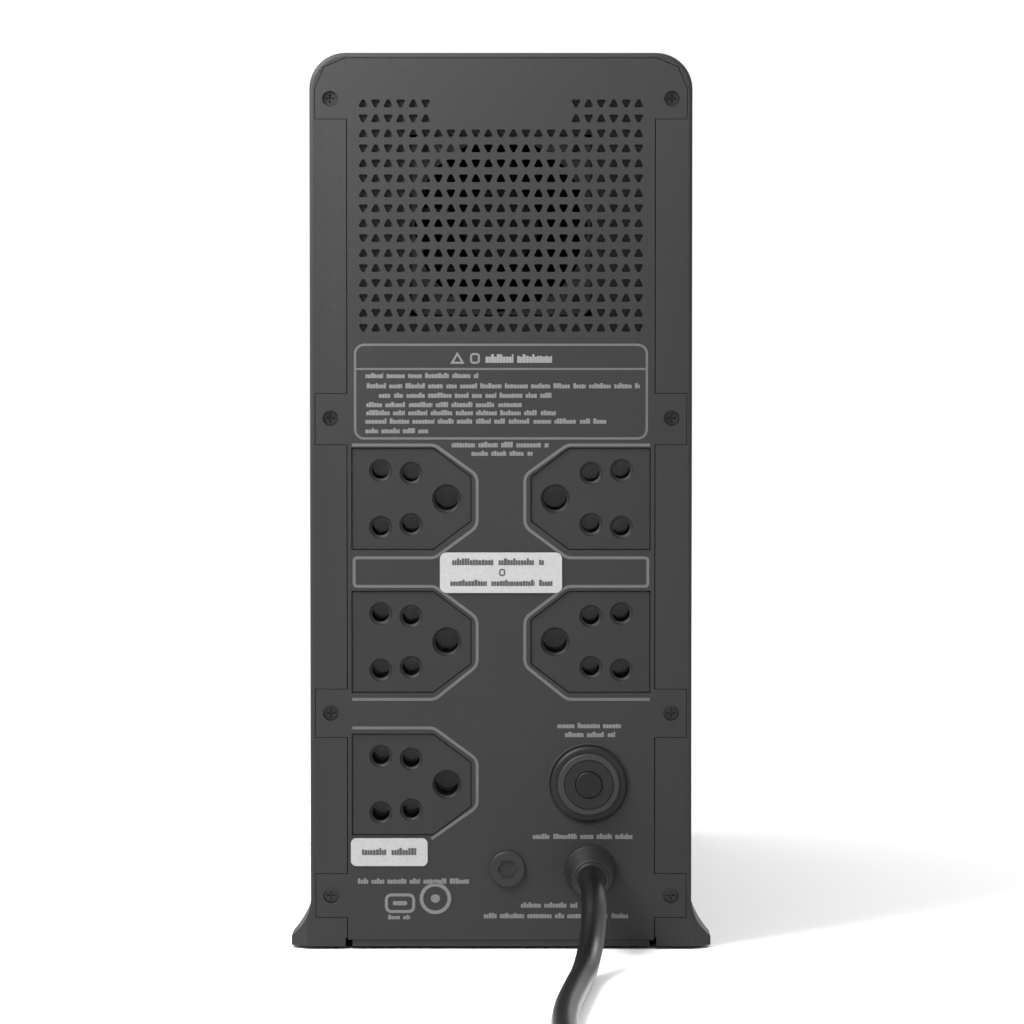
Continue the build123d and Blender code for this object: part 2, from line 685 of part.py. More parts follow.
with BuildPart() as battery_terminals:
    with BuildSketch(Plane.YZ.offset(battery_w / 2 - 1.2)):
        for z in (battery_z + 12, battery_z + 53, battery_z + battery_h + 12.5, battery_z + battery_h + 53.5):
            with Locations((-24, z)):
                Rectangle(0.8, 6.3)
    extrude(amount=5.0)
battery_terminals.part.label = "battery_terminals"
export_step(battery_terminals.part, "parts/battery_terminals.step")

with BuildPart() as battery_strap:
    with BuildSketch(Plane.YZ.offset(-9)):
        with BuildLine():
            z0, z1 = battery_z - 0.3, battery_z + 2 * battery_h + 1.5
            Polyline((battery_front_y - 1.4, z0 + 8), (battery_front_y - 1.4, z1 + 1.2), (-60, z1 + 1.2), (-60, z1 - 0.1), (battery_front_y - 0.1, z1 - 0.1), (battery_front_y - 0.1, z0 + 8), (battery_front_y - 1.4, z0 + 8))
        make_face()
    extrude(amount=18)
battery_strap.part.label = "battery_strap"
export_step(battery_strap.part, "parts/battery_strap.step")

# ---------------------------------------------------------------- transformer
with BuildPart() as transformer_core:
    with BuildSketch(at_y(85)):
        with Locations((0, 6.3 + 40)):
            Rectangle(96, 80)
            with Locations((24, 0), (-24, 0)):
                Rectangle(16, 48, mode=Mode.SUBTRACT)
    extrude(amount=60)
transformer_core.part.label = "transformer_core"
export_step(transformer_core.part, "parts/transformer_core.step")

with BuildPart() as transformer_winding:
    with BuildSketch(Plane.XY.offset(46.3 - 23.6)):
        with Locations((0, 55)):
            RectangleRounded(63, 92, 12)
            Rectangle(32.6, 60.6, mode=Mode.SUBTRACT)
    extrude(amount=47.2)
transformer_winding.part.label = "transformer_winding"
export_step(transformer_winding.part, "parts/transformer_winding.step")

with BuildPart() as transformer_bracket:
    with BuildSketch(at_y(65)):
        with Locations((0, (6.3 + 88.5) / 2)):
            Rectangle(100.4, 88.5 - 6.3)
        with Locations((0, (6.3 + 86.4) / 2 - 1)):
            Rectangle(96.4, 86.4 - 6.3 + 2, mode=Mode.SUBTRACT)
    extrude(amount=20)
    with BuildSketch(Plane.XY.offset(6.3)):
        with Locations((54.2, 55), (-54.2, 55)):
            Rectangle(8.4, 30)
    extrude(amount=2)
    with BuildSketch(Plane.XY.offset(6.3)):
        with Locations((54, 46), (-54, 46), (54, 64), (-54, 64)):
            Circle(2.1)
    extrude(amount=3, mode=Mode.SUBTRACT)
transformer_bracket.part.label = "transformer_bracket"
export_step(transformer_bracket.part, "parts/transformer_bracket.step")

with BuildPart() as transformer_bolts:
    with BuildSketch(Plane.XY.offset(8.3)):
        with Locations((54, 46), (-54, 46), (54, 64), (-54, 64)):
            RegularPolygon(3.6, 6)
    extrude(amount=2.8)
    with BuildSketch(Plane.XY.offset(4.2)):
        with Locations((54, 46), (-54, 46), (54, 64), (-54, 64)):
            Circle(1.9)
    extrude(amount=4.1)
transformer_bolts.part.label = "transformer_bolts"
export_step(transformer_bolts.part, "parts/transformer_bolts.step")

# ---------------------------------------------------------------- main circuit board on the +X wall
board_x = 50.0
board_z0, board_z1, board_y0, board_y1 = 155.0, 285.0, -140.0, 140.0
spacer_yz = [(y, z) for y in (-130, 0, 130) for z in (162, 278)]
with BuildPart() as main_board:
    with BuildSketch(Plane.YZ.offset(board_x)):
        with Locations(((board_y0 + board_y1) / 2, (board_z0 + board_z1) / 2)):
            Rectangle(board_y1 - board_y0, board_z1 - board_z0)
        with Locations(*spacer_yz):
            Circle(1.7, mode=Mode.SUBTRACT)
    extrude(amount=1.6)
main_board.part.label = "main_board"
export_step(main_board.part, "parts/main_board.step")

with BuildPart() as board_spacers:
    with BuildSketch(Plane.YZ.offset(board_x + 1.6)):
        with Locations(*spacer_yz):
            Circle(3.5)
    extrude(amount=body_half - wall - board_x - 1.6)
    with BuildSketch(Plane.YZ.offset(board_x - 2.0)):
        with Locations(*spacer_yz):
            Circle(3.0)
    extrude(amount=2.0)
    with BuildSketch(Plane.YZ.offset(board_x)):
        with Locations(*spacer_yz):
            Circle(1.6)
    extrude(amount=1.6)
board_spacers.part.label = "board_spacers"
export_step(board_spacers.part, "parts/board_spacers.step")

with BuildPart() as heat_sinks:
    for zc in (188.0, 248.0):
        with BuildSketch(at_y(50)):
            with Locations((board_x - 2.0 - 0.0, zc)):
                Rectangle(4.0, 44)
            with Locations(*[(board_x - 19.0, zc + k * 7.0) for k in range(-3, 4)]):
                Rectangle(30.2, 1.6)
        extrude(amount=110)
heat_sinks.part.label = "heat_sinks"
export_step(heat_sinks.part, "parts/heat_sinks.step")

with BuildPart() as power_transistors:
    for y in (-50, -30, -10, 10, 30):
        for z in (218.0 - 5.5, 218.0 + 5.5):
            with BuildSketch(Plane.YZ.offset(board_x)):
                with Locations((y, z)):
                    Rectangle(10.2, 4.6)
            extrude(amount=-18)
power_transistors.part.label = "power_transistors"
export_step(power_transistors.part, "parts/power_transistors.step")

with BuildPart() as capacitors:
    with BuildSketch(Plane.YZ.offset(board_x)):
        with Locations((75, 180), (75, 206), (103, 180), (103, 206)):
            Circle(11)
    extrude(amount=-34)
    fillet(capacitors.edges().filter_by(GeomType.CIRCLE).group_by(Axis.X)[0], 1.2)
capacitors.part.label = "capacitors"
export_step(capacitors.part, "parts/capacitors.step")

with BuildPart() as relays:
    with BuildSketch(Plane.YZ.offset(board_x)):
        with Locations((-118, 185), (-118, 210), (-118, 235), (-90, 185), (-90, 210)):
            RectangleRounded(20, 16, 1)
    extrude(amount=-16)
relays.part.label = "relays"
export_step(relays.part, "parts/relays.step")

# ---------------------------------------------------------------- front bezel, display and buttons
button_z = 196.0
buttons = {"power_button": (0.0, 7.5), "mute_button": (24.0, 5.5), "display_button": (-24.0, 5.5)}
with BuildPart() as front_bezel:
    with BuildSketch(at_y(cover_front_y)):
        full_outline(0.0, foot_gap)
    extrude(amount=cover_front_y - bezel_y)
    fillet(front_bezel.edges().filter_by_position(Axis.Y, bezel_y - 0.01, bezel_y + 0.01).filter_by(lambda e: e.center().Z > 20), 4.0)
    with BuildSketch(at_y(cover_front_y)):
        full_outline(2.6, 3.4)
    extrude(amount=cover_front_y - bezel_y - 3.0, mode=Mode.SUBTRACT)
    with BuildSketch(at_y(cover_front_y)):
        with Locations((0, (door_z0 + door_z1) / 2)):
            RectangleRounded(2 * door_half + 0.6, door_z1 - door_z0 + 0.6, 3)
        with Locations((0, 240)):
            Rectangle(64, 46)
        for x, r in buttons.values():
            with Locations((x, button_z)):
                Circle(r + 0.25)
    extrude(amount=cover_front_y - bezel_y, mode=Mode.SUBTRACT)
    with BuildSketch(at_y(bezel_y + 1.6)):
        with Locations((0, 240)):
            RectangleRounded(72.4, 54.4, 4)
    extrude(amount=2.0, mode=Mode.SUBTRACT)
front_bezel.part.label = "front_bezel"
export_step(front_bezel.part, "parts/front_bezel.step")

with BuildPart() as display_window:
    with BuildSketch(at_y(bezel_y + 1.6)):
        with Locations((0, 240)):
            RectangleRounded(72, 54, 3.8)
    extrude(amount=1.6)
display_window.part.label = "display_window"
export_step(display_window.part, "parts/display_window.step")

with BuildPart() as lcd_module:
    with BuildSketch(at_y(-176.0)):
        with Locations((0, 240)):
            Rectangle(62, 44)
    extrude(amount=12.4)
lcd_module.part.label = "lcd_module"
export_step(lcd_module.part, "parts/lcd_module.step")

with BuildPart() as control_board:
    with BuildSketch(at_y(-174.4)):
        with Locations((0, 228)):
            Rectangle(96, 96)
    extrude(amount=1.6)
    with BuildSketch(at_y(-176.0)):
        with Locations((-44, 186), (44, 186), (-44, 270), (44, 270)):
            Circle(3)
    extrude(amount=11.2)
control_board.part.label = "control_board"
export_step(control_board.part, "parts/control_board.step")

with BuildPart() as tact_switches:
    for x, r in buttons.values():
        with BuildSketch(at_y(-176.0)):
            with Locations((x, button_z)):
                Rectangle(6, 6)
        extrude(amount=4.0)
        with BuildSketch(at_y(-180.0)):
            with Locations((x, button_z)):
                Circle(1.7)
        extrude(amount=3.0)
tact_switches.part.label = "tact_switches"
export_step(tact_switches.part, "parts/tact_switches.step")

for name, (x, r) in buttons.items():
    with BuildPart() as button:
        with BuildSketch(at_y(-187.0)):
            with Locations((x, button_z)):
                Circle(r)
        extrude(amount=4.0)
        with BuildSketch(at_y(-185.5)):
            with Locations((x, button_z)):
                Circle(r + 1.3)
        extrude(amount=1.5)
        with BuildSketch(at_y(-184.4)):
            with Locations((x, button_z)):
                Circle(2.2)
        extrude(amount=1.1)
        fillet(button.edges().filter_by_position(Axis.Y, -191.1, -190.9), 0.7)
    button.part.label = name
    export_step(button.part, f"parts/{name}.step")

with BuildPart() as battery_door:
    with BuildSketch(at_y(bezel_y + 3.0)):
        with Locations((0, (door_z0 + door_z1) / 2)):
            RectangleRounded(2 * door_half, door_z1 - door_z0, 2.7)
    extrude(amount=3.0)
    # finger recess along the top of the door
    with BuildSketch(at_y(bezel_y)):
        with Locations((0, door_z1 - 9)):
            SlotOverall(40, 9)
    extrude(amount=-1.6, mode=Mode.SUBTRACT)
battery_door.part.label = "battery_door"
export_step(battery_door.part, "parts/battery_door.step")
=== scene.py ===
import bpy, bmesh, math, random
from mathutils import Vector, Matrix


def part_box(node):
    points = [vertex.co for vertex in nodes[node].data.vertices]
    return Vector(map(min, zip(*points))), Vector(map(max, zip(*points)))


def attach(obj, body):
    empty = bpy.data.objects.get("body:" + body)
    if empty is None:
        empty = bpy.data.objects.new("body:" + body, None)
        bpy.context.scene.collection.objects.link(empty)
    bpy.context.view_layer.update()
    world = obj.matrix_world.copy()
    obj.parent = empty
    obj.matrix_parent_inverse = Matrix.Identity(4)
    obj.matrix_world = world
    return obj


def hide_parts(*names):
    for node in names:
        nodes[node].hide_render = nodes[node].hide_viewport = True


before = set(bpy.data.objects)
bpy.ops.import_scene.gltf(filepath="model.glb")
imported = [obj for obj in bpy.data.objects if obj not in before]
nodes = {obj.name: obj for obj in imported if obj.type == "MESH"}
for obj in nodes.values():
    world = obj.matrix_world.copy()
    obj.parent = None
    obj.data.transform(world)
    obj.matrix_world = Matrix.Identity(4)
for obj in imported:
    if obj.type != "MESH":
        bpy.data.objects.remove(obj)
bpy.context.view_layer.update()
random.seed(7)
MM = 0.001
REAR = 0.187            # outer face of the rear panel


def mm(*p):
    return tuple(v * MM for v in p)


# ------------------------------------------------------------------ camera
target = Vector(mm(-3.7, 187.0, 147.3))
elevation, distance = math.radians(3.0), 2.0
cam_data = bpy.data.cameras.new("camera")
cam = bpy.data.objects.new("camera", cam_data)
bpy.context.scene.collection.objects.link(cam)
cam.location = target + Vector((0, math.cos(elevation) * distance, math.sin(elevation) * distance))
cam.rotation_euler = (target - cam.location).to_track_quat('-Z', 'Y').to_euler()
cam_data.sensor_width = 36.0
cam_data.lens = 36.0 * distance / 0.3436
cam_data.clip_start, cam_data.clip_end = 0.05, 30
bpy.context.scene.camera = cam


# ------------------------------------------------------------------ node materials
def new_mat(name):
    m = bpy.data.materials.new(name)
    m.use_nodes = True
    nt = m.node_tree
    bsdf = nt.nodes["Principled BSDF"]
    return m, nt, bsdf


def noise(nt, scale, detail=3.0, rough=0.5, vec=None, distort=0.0):
    n = nt.nodes.new("ShaderNodeTexNoise")
    n.inputs["Scale"].default_value = scale
    n.inputs["Detail"].default_value = detail
    n.inputs["Roughness"].default_value = rough
    n.inputs["Distortion"].default_value = distort
    if vec is not None:
        nt.links.new(vec, n.inputs["Vector"])
    return n


def coords(nt):
    return nt.nodes.new("ShaderNodeTexCoord").outputs["Object"]


def ramp(nt, fac, stops):
    r = nt.nodes.new("ShaderNodeValToRGB")
    while len(r.color_ramp.elements) < len(stops):
        r.color_ramp.elements.new(0.5)
    for e, (p, c) in zip(r.color_ramp.elements, stops):
        e.position = p
        e.color = (*c, 1) if len(c) == 3 else c
    nt.links.new(fac, r.inputs["Fac"])
    return r


def shade(c, k):
    return tuple(min(1.0, v * k) for v in c)


def plastic(name, col, rough=0.55, grain=1900.0, bump=0.12, vary=0.10, edge=0.25, coat=0.0, spec=0.5, rvar=0.06):
    """Moulded plastic: fine sparked texture, slow colour drift and slightly polished edges."""
    m, nt, b = new_mat(name)
    co = coords(nt)
    big = noise(nt, 9.0, 4.0, 0.55, co)
    fine = noise(nt, grain, 2.0, 0.6, co)
    mid = noise(nt, grain * 0.22, 3.0, 0.6, co)
    base = ramp(nt, big.outputs["Fac"], [(0.3, shade(col, 1 - vary)), (0.7, shade(col, 1 + vary))])
    speck = nt.nodes.new("ShaderNodeMix"); speck.data_type = 'RGBA'; speck.blend_type = 'MULTIPLY'
    speck.inputs["Factor"].default_value = 0.35
    sr = ramp(nt, fine.outputs["Fac"], [(0.35, (0.72, 0.72, 0.72)), (0.65, (1.22, 1.22, 1.22))])
    nt.links.new(base.outputs["Color"], speck.inputs["A"]); nt.links.new(sr.outputs["Color"], speck.inputs["B"])
    geo = nt.nodes.new("ShaderNodeNewGeometry")
    wear = ramp(nt, geo.outputs["Pointiness"], [(0.50, (0, 0, 0)), (0.56, (1, 1, 1))])
    wm = nt.nodes.new("ShaderNodeMath"); wm.operation = 'MULTIPLY'; wm.inputs[1].default_value = edge
    nt.links.new(wear.outputs["Color"], wm.inputs[0])
    mix = nt.nodes.new("ShaderNodeMix"); mix.data_type = 'RGBA'
    nt.links.new(wm.outputs[0], mix.inputs["Factor"])
    nt.links.new(speck.outputs["Result"], mix.inputs["A"]); mix.inputs["B"].default_value = (*shade(col, 1.7), 1)
    nt.links.new(mix.outputs["Result"], b.inputs["Base Color"])
    rr = ramp(nt, mid.outputs["Fac"], [(0.3, (rough - rvar,) * 3), (0.7, (rough + rvar,) * 3)])
    nt.links.new(rr.outputs["Color"], b.inputs["Roughness"])
    bp = nt.nodes.new("ShaderNodeBump"); bp.inputs["Strength"].default_value = bump; bp.inputs["Distance"].default_value = 0.0004
    add = nt.nodes.new("ShaderNodeMath"); add.operation = 'ADD'
    nt.links.new(fine.outputs["Fac"], add.inputs[0]); nt.links.new(mid.outputs["Fac"], add.inputs[1])
    nt.links.new(add.outputs[0], bp.inputs["Height"]); nt.links.new(bp.outputs["Normal"], b.inputs["Normal"])
    b.inputs["Specular IOR Level"].default_value = spec
    b.inputs["Coat Weight"].default_value = coat
    b.inputs["Coat Roughness"].default_value = 0.06
    return m


def metal(name, col, rough=0.3, scale=400.0, brushed=(1, 1, 12), vary=0.12, bump=0.08, metallic=1.0):
    m, nt, b = new_mat(name)
    co = coords(nt)
    mp = nt.nodes.new("ShaderNodeMapping"); mp.inputs["Scale"].default_value = brushed
    nt.links.new(co, mp.inputs["Vector"])
    n = noise(nt, scale, 4.0, 0.6, mp.outputs["Vector"])
    cr = ramp(nt, n.outputs["Fac"], [(0.3, shade(col, 1 - vary)), (0.7, shade(col, 1 + vary))])
    nt.links.new(cr.outputs["Color"], b.inputs["Base Color"])
    rr = ramp(nt, n.outputs["Fac"], [(0.3, (rough - 0.08,) * 3), (0.7, (rough + 0.1,) * 3)])
    nt.links.new(rr.outputs["Color"], b.inputs["Roughness"])
    bp = nt.nodes.new("ShaderNodeBump"); bp.inputs["Strength"].default_value = bump; bp.inputs["Distance"].default_value = 0.0002
    nt.links.new(n.outputs["Fac"], bp.inputs["Height"]); nt.links.new(bp.outputs["Normal"], b.inputs["Normal"])
    b.inputs["Metallic"].default_value = metallic
    return m


def banded(name, col_a, col_b, axis, per_m, rough=0.5, metallic=0.0):
    """Fine parallel bands: laminations, windings or a woven strap."""
    m, nt, b = new_mat(name)
    co = coords(nt)
    w = nt.nodes.new("ShaderNodeTexWave"); w.wave_type = 'BANDS'; w.bands_direction = axis
    w.inputs["Scale"].default_value = per_m; w.inputs["Distortion"].default_value = 0.35; w.inputs["Detail"].default_value = 2
    nt.links.new(co, w.inputs["Vector"])
    n = noise(nt, 60, 4, 0.6, co)
    cr = ramp(nt, w.outputs["Fac"], [(0.25, col_b), (0.6, col_a)])
    mx = nt.nodes.new("ShaderNodeMix"); mx.data_type = 'RGBA'; mx.blend_type = 'MULTIPLY'; mx.inputs["Factor"].default_value = 0.5
    nr = ramp(nt, n.outputs["Fac"], [(0.3, (0.6, 0.6, 0.6)), (0.7, (1.2, 1.2, 1.2))])
    nt.links.new(cr.outputs["Color"], mx.inputs["A"]); nt.links.new(nr.outputs["Color"], mx.inputs["B"])
    nt.links.new(mx.outputs["Result"], b.inputs["Base Color"])
    rr = ramp(nt, n.outputs["Fac"], [(0.3, (rough - 0.1,) * 3), (0.7, (rough + 0.1,) * 3)])
    nt.links.new(rr.outputs["Color"], b.inputs["Roughness"])
    bp = nt.nodes.new("ShaderNodeBump"); bp.inputs["Strength"].default_value = 0.5; bp.inputs["Distance"].default_value = 0.0003
    nt.links.new(w.outputs["Fac"], bp.inputs["Height"]); nt.links.new(bp.outputs["Normal"], b.inputs["Normal"])
    b.inputs["Metallic"].default_value = metallic
    return m


def board(name):
    m, nt, b = new_mat(name)
    co = coords(nt)
    v = nt.nodes.new("ShaderNodeTexVoronoi"); v.distance = 'MANHATTAN'; v.inputs["Scale"].default_value = 170
    nt.links.new(co, v.inputs["Vector"])
    n = noise(nt, 40, 5, 0.6, co)
    cr = ramp(nt, v.outputs["Distance"], [(0.42, (0.012, 0.085, 0.03)), (0.5, (0.03, 0.17, 0.06))])
    mx = nt.nodes.new("ShaderNodeMix"); mx.data_type = 'RGBA'; mx.blend_type = 'MULTIPLY'; mx.inputs["Factor"].default_value = 0.4
    nr = ramp(nt, n.outputs["Fac"], [(0.3, (0.7, 0.7, 0.7)), (0.7, (1.1, 1.1, 1.1))])
    nt.links.new(cr.outputs["Color"], mx.inputs["A"]); nt.links.new(nr.outputs["Color"], mx.inputs["B"])
    nt.links.new(mx.outputs["Result"], b.inputs["Base Color"])
    rr = ramp(nt, n.outputs["Fac"], [(0.3, (0.28,) * 3), (0.7, (0.42,) * 3)])
    nt.links.new(rr.outputs["Color"], b.inputs["Roughness"])
    return m


CABINET = (0.0148, 0.0148, 0.0152)
M = {
    "cabinet": plastic("cabinet plastic", CABINET, rough=0.52, grain=2600, bump=0.10, vary=0.06, edge=0.22, spec=0.16),
    "panel": plastic("rear panel plastic", CABINET, rough=0.54, grain=2600, bump=0.10, vary=0.06, edge=0.16, spec=0.16),
    "outlet": plastic("outlet plastic", (0.0138, 0.0138, 0.0142), rough=0.48, grain=3200, bump=0.05, vary=0.05, edge=0.25, spec=0.16),
    "rubber": plastic("foot rubber", (0.022, 0.022, 0.022), rough=0.8, grain=1500, bump=0.2, vary=0.15, edge=0.1, spec=0.25),
    "cord": plastic("cord rubber", (0.0022, 0.0022, 0.0024), rough=0.34, grain=2600, bump=0.002, vary=0.06, edge=0.02, coat=0.0, spec=0.24, rvar=0.012),
    "relief": plastic("relief rubber", (0.0055, 0.0055, 0.0058), rough=0.48, grain=2400, bump=0.03, vary=0.08, edge=0.25, spec=0.2),
    "plug": plastic("plug rubber", (0.014, 0.014, 0.015), rough=0.38, grain=1800, bump=0.06, vary=0.1, edge=0.3, spec=0.5),
    "tie": plastic("tie plastic", (0.02, 0.02, 0.02), rough=0.45, grain=1500, bump=0.05, edge=0.3),
    # partly painted shade: the breaker body's own dark plastic, also on the collar, whose near-black ring stands for
    # the shaded groove round the breaker
    "breaker": plastic("breaker plastic with painted groove shade", (0.0045, 0.0045, 0.0047), rough=0.52, grain=2200, bump=0.05, vary=0.06, edge=0.3, spec=0.22),
    "nut": plastic("breaker ring plastic", (0.0160, 0.0160, 0.0164), rough=0.48, grain=2200, bump=0.05, vary=0.06, edge=0.35, spec=0.18),
    "breaker_button": plastic("breaker button plastic", (0.0035, 0.0035, 0.0037), rough=0.42, grain=2600, bump=0.02, vary=0.06, edge=0.25, coat=0.0, spec=0.2),
    "print": plastic("printed ink", (0.060, 0.060, 0.061), rough=0.6, grain=3500, bump=0.02, vary=0.06, edge=0.0, spec=0.3),
    "print_light": plastic("printed ink light", (0.094, 0.094, 0.0955), rough=0.6, grain=3500, bump=0.02, vary=0.06, edge=0.0, spec=0.3),
    "print_bright": plastic("printed ink bright", (0.130, 0.130, 0.132), rough=0.6, grain=3500, bump=0.02, vary=0.06, edge=0.0, spec=0.3),
    "label": plastic("label film", (0.238, 0.238, 0.240), rough=0.4, grain=2200, bump=0.02, vary=0.03, edge=0.0, spec=0.4),
    "label_ink": plastic("label ink", (0.028, 0.028, 0.029), rough=0.5, grain=2200, bump=0.02, vary=0.05, edge=0.0),
    "screw": metal("black screw", (0.010, 0.010, 0.0105), rough=0.42, scale=900, brushed=(1, 1, 1), metallic=0.4),
    # painted shade: the socket contacts are dark grey instead of brass, and the earth contact darker still, so the
    # holes read dark
    "contact": metal("contact metal darkened for painted shade", (0.235, 0.233, 0.23), rough=0.34, scale=500, metallic=1.0),
    "earth": metal("earth contact metal darkened for painted shade", (0.165, 0.164, 0.162), rough=0.36, scale=500, metallic=1.0),
    # painted shade: the socket mouths are far darker than the outlet plastic so that the holes read dark
    "mouth": plastic("socket mouth painted shade", (0.004, 0.004, 0.0042), rough=0.6, grain=3200, bump=0.03, vary=0.05, edge=0.0, spec=0.12),
    "pin": metal("plug pin brass", (0.80, 0.64, 0.34), rough=0.22, scale=700, brushed=(1, 8, 1)),
    "tin": metal("tinned terminal", (0.62, 0.61, 0.58), rough=0.35, scale=600),
    "zinc": metal("zinc steel", (0.56, 0.56, 0.54), rough=0.35, scale=120, brushed=(1, 1, 1)),
    "alu": metal("extruded aluminium", (0.66, 0.66, 0.67), rough=0.32, scale=300, brushed=(12, 1, 12)),
    "shroud": plastic("baffle plastic", (0.024, 0.024, 0.0245), rough=0.55, grain=1800, bump=0.05, vary=0.08, edge=0.2, spec=0.3),
    "fan": plastic("fan plastic", (0.017, 0.017, 0.0175), rough=0.5, grain=1800, bump=0.05, vary=0.08, edge=0.3),
    "battery": plastic("battery case", (0.075, 0.078, 0.085), rough=0.42, grain=1400, bump=0.05, vary=0.08, edge=0.3),
    "tray": plastic("tray plastic", (0.035, 0.035, 0.036), rough=0.55, grain=1500, bump=0.08, edge=0.3),
    "strap": banded("strap weave", (0.045, 0.045, 0.047), (0.015, 0.015, 0.016), 'Z', 260, rough=0.8),
    "core": banded("laminated core", (0.20, 0.20, 0.21), (0.06, 0.06, 0.065), 'Y', 330, rough=0.45, metallic=0.7),
    "winding": banded("taped winding", (0.50, 0.22, 0.07), (0.22, 0.08, 0.03), 'Z', 210, rough=0.4, metallic=0.3),
    "board": board("circuit board"),
    "nylon": plastic("nylon", (0.62, 0.60, 0.55), rough=0.5, grain=900, bump=0.04, edge=0.1),
    "component": plastic("component epoxy", (0.025, 0.025, 0.026), rough=0.45, grain=1600, bump=0.1, edge=0.3),
    "relay": plastic("relay case", (0.03, 0.06, 0.13), rough=0.35, grain=1600, bump=0.03, edge=0.3),
    "cap": plastic("capacitor sleeve", (0.02, 0.025, 0.06), rough=0.28, grain=1200, bump=0.02, edge=0.15, coat=0.3),
    "bezel": plastic("gloss bezel", (0.010, 0.010, 0.011), rough=0.14, grain=500, bump=0.01, vary=0.08, edge=0.1, coat=0.6, spec=0.6),
    "button": plastic("button plastic", (0.022, 0.022, 0.024), rough=0.32, grain=1500, bump=0.03, vary=0.06, edge=0.25, coat=0.2),
    "icon": plastic("icon ink", (0.55, 0.56, 0.58), rough=0.5, grain=2000, bump=0.01, edge=0.0),
    "green": plastic("indicator green", (0.03, 0.42, 0.10), rough=0.3, grain=1500, bump=0.01, edge=0.0),
}
glass, gnt, gb = new_mat("display glass")
gn = noise(gnt, 30, 3, 0.5, coords(gnt))
gr = ramp(gnt, gn.outputs["Fac"], [(0.3, (0.05,) * 3), (0.7, (0.09,) * 3)])
gnt.links.new(gr.outputs["Color"], gb.inputs["Roughness"])
gc = ramp(gnt, gn.outputs["Fac"], [(0.3, (0.012, 0.014, 0.017)), (0.7, (0.02, 0.022, 0.026))])
gnt.links.new(gc.outputs["Color"], gb.inputs["Base Color"])
gb.inputs["Alpha"].default_value = 0.55
gb.inputs["Coat Weight"].default_value = 0.8
M["glass"] = glass
lcdm, lnt, lb = new_mat("dark display")
ln = noise(lnt, 900, 2, 0.5, coords(lnt))
lc = ramp(lnt, ln.outputs["Fac"], [(0.3, (0.02, 0.045, 0.06)), (0.7, (0.03, 0.065, 0.085))])
lnt.links.new(lc.outputs["Color"], lb.inputs["Base Color"])
lb.inputs["Roughness"].default_value = 0.2
M["lcd"] = lcdm

USE = {
    "cabinet": ["left_shell", "right_shell", "base_plate"], "panel": ["rear_panel", "vent_grille"],
    "outlet": [f"outlet_{i}" for i in range(1, 6)] + ["blanking_plug"], "rubber": ["rubber_feet", "fan_pegs"],
    "contact": ["live_contacts", "neutral_contacts"], "earth": ["earth_contacts"], "screw": ["rear_screws"], "label": ["label_plate_upper", "label_plate_lower"],
    "breaker": ["breaker_body", "breaker_collar"], "nut": ["breaker_nut"], "breaker_button": ["breaker_button"],
    "cord": ["mains_cord", "cord_tail", "cord_coil"], "relief": ["strain_relief"], "plug": ["plug_body"], "tie": ["coil_tie"], "pin": ["plug_pins"],
    "fan": ["fan_frame", "fan_rotor"], "shroud": ["fan_shroud"], "battery": ["battery_block_lower", "battery_block_upper"], "tin": ["battery_terminals"], "strap": ["battery_strap"],
    "tray": ["battery_tray"], "core": ["transformer_core"], "winding": ["transformer_winding"], "zinc": ["transformer_bracket", "transformer_bolts"],
    "board": ["main_board", "control_board"], "nylon": ["board_spacers"], "alu": ["heat_sinks"], "component": ["power_transistors", "tact_switches"],
    "relay": ["relays"], "cap": ["capacitors"], "bezel": ["front_bezel", "battery_door"], "glass": ["display_window"], "lcd": ["lcd_module"],
    "button": ["power_button", "mute_button", "display_button"],
}
for key, names in USE.items():
    for n in names:
        o = nodes[n]
        o.data.materials.clear()
        o.data.materials.append(M[key])


# ------------------------------------------------------------------ mesh helpers
def mesh_obj(name, verts, faces, mat, body="cabinet", smooth=False):
    me = bpy.data.meshes.new(name)
    me.from_pydata(verts, [], faces)
    bm = bmesh.new(); bm.from_mesh(me)
    bmesh.ops.remove_doubles(bm, verts=bm.verts, dist=1e-7)
    bmesh.ops.recalc_face_normals(bm, faces=bm.faces)
    bm.to_mesh(me); bm.free()
    if smooth:
        for p in me.polygons:
            p.use_smooth = True
    o = bpy.data.objects.new(name, me)
    bpy.context.scene.collection.objects.link(o)
    me.materials.append(mat)
    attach(o, body)
    return o


def prism(poly, y0, y1, verts, faces):
    """A closed slab of an outline given in X, Z (mm), between two Y values (mm)."""
    k, n = len(verts), len(poly)
    verts += [mm(x, y0, z) for x, z in poly] + [mm(x, y1, z) for x, z in poly]
    faces.append(list(range(k, k + n)))
    faces.append(list(range(k + 2 * n - 1, k + n - 1, -1)))
    for i in range(n):
        j = (i + 1) % n
        faces.append([k + i, k + j, k + n + j, k + n + i])


def rounded(x0, z0, x1, z1, r, n=5):
    r = min(r, abs(x1 - x0) / 2 - 1e-4, abs(z1 - z0) / 2 - 1e-4)
    pts = []
    for cx, cz, a in ((x1 - r, z1 - r, 0), (x0 + r, z1 - r, 90), (x0 + r, z0 + r, 180), (x1 - r, z0 + r, 270)):
        for i in range(n + 1):
            t = math.radians(a + 90 * i / n)
            pts.append((cx + r * math.cos(t), cz + r * math.sin(t)))
    return pts


def round_path(pts, radius, closed=False, n=6):
    """Rounds the corners of a polyline."""
    out, m = [], len(pts)
    for i, p in enumerate(pts):
        if not closed and i in (0, m - 1):
            out.append(p)
            continue
        a, c = Vector(pts[i - 1]), Vector(pts[(i + 1) % m])
        b = Vector(p)
        u, v = (a - b), (c - b)
        ang = u.angle(v)
        d = min(radius / math.tan(ang / 2), u.length * 0.45, v.length * 0.45)
        p0, p1 = b + u.normalized() * d, b + v.normalized() * d
        for k in range(n + 1):
            t = k / n
            q = p0 * (1 - t) ** 2 + b * 2 * t * (1 - t) + p1 * t * t
            out.append((q.x, q.y))
    return out


